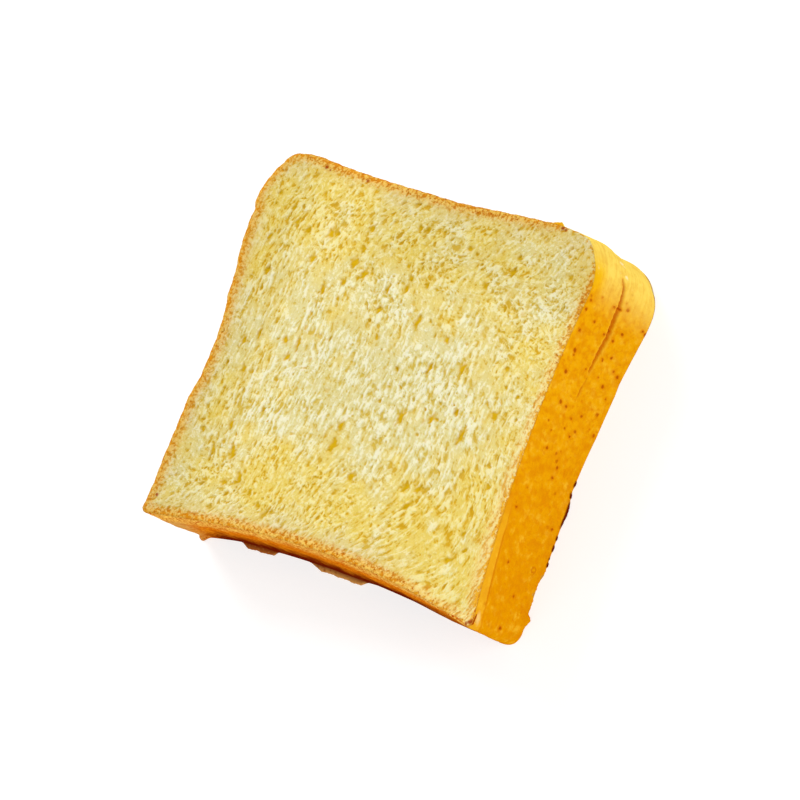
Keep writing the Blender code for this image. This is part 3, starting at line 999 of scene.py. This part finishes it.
def crumb_finish(name, seed):
    """Buttered or plain crumb, golden where it is toasted, with painted shade and painted highlights in
    its colour.
    """
    look = Finish(name, Roughness=0.6, Specular_IOR_Level=0.05, Subsurface_Weight=0.2,
                    Subsurface_Radius=(1, 0.75, 0.3), Subsurface_Scale=0.001)
    pattern = crumb_pattern(look, seed)
    _, wall, grain, _ = pattern
    patches = look.patches(9, 1, 0.5)
    fine = look.swing(look.patches(0.45, 2, 0.6))
    lie = crumb_body(look, pattern, patches, fine)
    toasted_rim(look, lie, patches, fine)
    look.coat(CRUST_RED, look.named("speck"))
    # Painted shade: a little black laid over the crumb where it is painted as less lit.
    look.coat(SHADE, look.named("dull"), 0.11)
    return look.done(look.add((wall, 0.6), grain, (fine, 0.6)), 0.35, 0.8)


Skin = namedtuple("Skin", "station depth mottle streak leather fine stain corner")


def crust_skin(look):
    """What the crust is like at a place: where it is, and how its stains and streaks run."""
    station, depth = look.named("station"), look.named("depth")
    mottle = look.patches((4, 4, 7), 4, 0.65)
    streak = look.patches((14, 14, 1), 3, 0.6)
    leather = look.patches((2.2, 2.2, 3), 3, 0.6)
    corner = look.times((station, 1.8, 1.95), (station, 2.3, 2.12))
    stain = look.add(look.swing(mottle, 0.8), look.swing(leather, 0.9),
                       look.swing(streak, look.blend(corner, 0.1, 1.2)))
    fine = look.patches(1.1, 3, 0.65)
    return Skin(station, depth, mottle, streak, leather, fine, stain, corner)


def side_crust(look, skin):
    """The side crust that shows: gold, deeper low down, and pale round the top corner."""
    station, depth, stain, corner = skin.station, skin.depth, skin.stain, skin.corner
    drift = look.patches(2, 2, output="Color")
    cells = look.shifted(look.scaled(look.place, (1 / 2.4, 1 / 2.4, 1 / 4.4)),
                           look.scaled(drift, (0.9, 0.9, 0.9)))
    vein = look.cells(cells, "3D").outputs["Distance"]
    blotch = look.patches((1.5, 1.5, 2.4), 3, 0.6)
    look.coats = look.mix(look.spread(station, 1.7, 1.05), CRUST_GOLD, CRUST_DEEP)
    look.coat(CRUST_LIGHT, (stain, 0, 0.28), 0.7)
    look.coat(CRUST_AMBER, (stain, 0, -0.28), 0.8)
    look.coat(CRUST_AMBER, (vein, 0.4, 0.75), 0.5)
    look.coat(CRUST_AMBER, (blotch, 0.54, 0.68), 0.6)
    front = look.times((depth, 0.78, 0.95), (station, 2.00, 1.9))
    look.coat(look.mix(front, CRUST_PALE, CRUST_YELLOW), corner, (stain, -0.3, 0.2, 0.65, 1))

    # The lighter fold before the face's rim at the lower right, and its seam
    fold = look.add(depth, (station, -0.24), look.swing(skin.mottle, 0.08),
                      look.swing(skin.fine, 0.04))
    low_right = look.spread(station, 1.36, 1.22)
    look.coat(CRUST_LIGHT, (fold, 0.57, 0.61), low_right, 0.4)
    seam = look.spread(look.math("ABSOLUTE", look.add(fold, -0.585)), 0.03, 0.005)
    look.coat(CRUST_AMBER, seam, low_right, 0.7)
    scuffed = look.spread(look.patches((3, 3, 1.2), 3, 0.7), 0.64, 0.74)
    look.coat(CRUST_SCUFF, scuffed, corner, 0.45)


def other_crusts(look, skin):
    """The bottom crust, tan at its tip and near black towards the back, partly scorched and partly painted
    shade, and the browned top and left.
    """
    station, depth, stain = skin.station, skin.depth, skin.stain
    back = look.add(depth, look.swing(skin.mottle, 0.5))
    crumbly = look.patches(0.75, 1, 0.5)
    crumbly = look.add((crumbly, 0.9), (skin.mottle, 0.3))
    rough = look.spread(crumbly, 0.42, 0.78)
    past_tip = look.add(station, (look.math("SUBTRACT", 1, depth), 0.1),
                          look.swing(skin.fine, 0.12))
    tip, under, inner = (look.mix(rough, *pair) for pair in (
        (CRUST_TAN_DARK, CRUST_TAN), (UNDER_BROWN, UNDER_GOLD), (UNDER_BROWN, RIM_CREAM)))
    lower = look.mix(look.spread(past_tip, 0.08, 0.15), tip, under)
    lower = look.mix(look.spread(back, 0.62, 0.85), lower, inner)
    # Scorching and painted shade: the bottom crust's back edge, which lies in shade, is painted near
    # black.
    scorched_shade = look.times((past_tip, 0.1, 0.19), (station, 0.95, 0.65, 0.3, 1), (back, 0.6, 0.15))
    lower = look.mix(scorched_shade, lower, CRUST_SCORCH_SHADE)
    look.coat(lower, look.math("LESS_THAN", station, 1), (station, 1, 0.93))
    look.coat(CRUST_BROWN, (station, 2.25, 2.4), (station, 2.95, 2.85), (stain, -0.2, 0.1, 0.8, 0.35))
    look.coat(CRUST_BROWN, (station, 2.95, 3.1), (station, 4, 3.95), (stain, -0.2, 0.1, 0.5, 0.1))


def crust_marks(look, skin, groove):
    """Creases with painted shade inside and a painted highlight on their lips, pinholes, scuffs, and the
    bits on the back edge painted dark as shade; returns where the pinholes are.
    """
    station, fine = skin.station, skin.fine
    ragged = look.swing(fine, 1.2)
    place = look.vector(look.add((station, STATION_LENGTH), ragged),
                          look.add((skin.depth, THICKNESS / WIDE_SPOTS), ragged))
    # Painted shade inside the creases, and a painted highlight along their lips.
    look.coat(CRUST_LIGHT, look.named("lip"), 0.6)
    look.coat(CRUST_BROWN, groove, 0.85)
    ring = look.math("ABSOLUTE", look.from_spots(place, [RING_BLISTER]))
    look.coat(CRUST_BROWN, (ring, 0.4, 0.1), 0.6)

    largest = look.from_spots(place, PINHOLES)
    cell = look.cells(look.scaled(look.place, (1 / 2.6, 1 / 2.6, 1 / 4.2)), "3D")
    red, green, _ = look.parts(cell.outputs["Color"])
    crowd = look.patches(18, 1, 0.5)
    present = look.times(
        look.math("LESS_THAN", red, look.spread(crowd, 0.35, 0.65, 0.05, 0.6)),
        (station, 1.2, 1.7, 0.2, 1),
        (skin.corner, 0, 1, 1, 0.05),
    )
    radius = look.spread(green, 0, 1, 0.02, 0.19)
    away = look.times(look.math("SUBTRACT", cell.outputs["Distance"], radius), 2.6)
    away = look.add(away, look.swing(fine))
    halo, pinhole = (
        look.math("MAXIMUM", look.spread(largest, *edge), look.times((away, *small_edge), present))
        for edge, small_edge in (((1, 0), (0.8, 0)), ((0.3, -0.2), (0.25, -0.15)))
    )
    look.coat(CRUST_RUSSET, halo, 0.6)
    look.coat(CRUST_RED, pinhole, 0.85)
    look.coat(CRUST_SCUFF, (look.from_spots(place, SCUFFS), 0.3, -0.3))
    look.coat(CRUST_SCUFF, (look.from_line(place, STREAK), 1.3, 0.1), 0.5)
    look.coat(CRUST_RED, (look.from_line(place, CRACK), 1.1, 0.7))
    rusty = look.spread(look.add(fine, station), 0.72, 0.95)
    look.coat(look.mix(rusty, CRUST_RUST, CRUST_FLAKE), look.named("flake"))
    # Painted shade: the bits on the right side's back edge are painted near black.
    look.coat(CRUST_SCORCH_SHADE, look.named("burnt"))
    return pinhole


def crust_finish():
    look = Finish("golden crust", Roughness=0.5, Specular_IOR_Level=0)
    skin, groove = crust_skin(look), look.named("groove")
    side_crust(look, skin)
    other_crusts(look, skin)
    pinhole = crust_marks(look, skin, groove)
    rise = look.add((skin.fine, 0.5), (skin.leather, 0.7), (skin.streak, 0.3), (pinhole, -0.1),
                    (groove, -0.4))
    return look.done(rise, 0.3, 0.5)


def table_finish():
    """White that glows a little, so that it stays white under the slice's faint shadow."""
    look = Finish("white table", Roughness=0.6, Specular_IOR_Level=0.1, Base_Color=(0.4, 0.4, 0.4, 1),
                    Emission_Color=(1, 1, 1, 1), Emission_Strength=0.7)
    return look.material


# The stage

def make_table(size=4.0):
    mesh = bpy.data.meshes.new("table_top")
    h = size / 2
    mesh.from_pydata([(-h, -h, 0), (h, -h, 0), (h, h, 0), (-h, h, 0)], [], [(0, 1, 2, 3)])
    mesh.materials.append(table_finish())
    table = bpy.data.objects.new("table_top", mesh)
    bpy.context.scene.collection.objects.link(table)


def make_light(name, toward, distance, size, power):
    """A round lamp that shines on the slice from the way given, in metres and watts."""
    data = bpy.data.lights.new(name, "AREA")
    data.shape = "DISK"
    data.size = size
    data.energy = power
    light = bpy.data.objects.new(name, data)
    direction = Vector(toward).normalized()
    light.location = direction * distance
    light.rotation_euler = direction.to_track_quat("Z", "Y").to_euler()
    bpy.context.scene.collection.objects.link(light)


def make_camera():
    """The camera looks down on the face from its right, rolled as in the photo."""
    right, up = Vector(CAMERA_RIGHT), Vector(CAMERA_UP)
    back = right.cross(up).normalized()
    away = Vector(CAMERA_PLACE) + Vector((0, 0, THICKNESS)) - Vector((*MIDDLE, 0))
    data = bpy.data.cameras.new("camera")
    data.lens = 144
    data.sensor_width = 36
    data.clip_end = 20
    camera = bpy.data.objects.new("camera", data)
    turned = Matrix((right, up, back)).transposed().to_4x4()
    camera.matrix_world = Matrix.Translation(away * MM) @ turned
    bpy.context.scene.collection.objects.link(camera)
    bpy.context.scene.camera = camera


def light_the_scene():
    world = bpy.data.worlds.new("studio")
    world.use_nodes = True
    background = world.node_tree.nodes["Background"]
    background.inputs["Color"].default_value = (1, 1, 1, 1)
    background.inputs["Strength"].default_value = 0.5
    bpy.context.scene.world = world
    make_light("key", (-0.62, 0.52, 0.85), 1.6, 0.8, 14.5)
    make_light("side", (0.92, 0.16, 0.50), 1.7, 1.2, 12.2)
    make_light("low", (-0.15, -0.93, 0.34), 1.5, 1.2, 6.5)
    bpy.context.scene.view_settings.view_transform = "Standard"


# Put together

make_camera()
light_the_scene()
make_table()

crumb = crumb_finish("buttered crumb", CRUMB_SEED[1])
plain_crumb = crumb_finish("plain crumb", CRUMB_SEED[-1])
crust = crust_finish()

face_relief = crumb_relief("face relief", 1, crumb)
back_relief = crumb_relief("back relief", -1, plain_crumb)
shell_relief = crust_relief("crust relief", crust)
pieces = (
    (face_relief.shape("buttered_face", cut_face("face", FACE_STEPS, 1.0, 1)), "crumb"),
    (back_relief.shape("back_face", cut_face("back", BACK_STEPS, 0.0, -1)), "crumb"),
    (shell_relief.shape("crust", crust_shell("shell")), "crust"),
)
for piece, slot in pieces:
    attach(piece, "root")
    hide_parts("toast_slice")
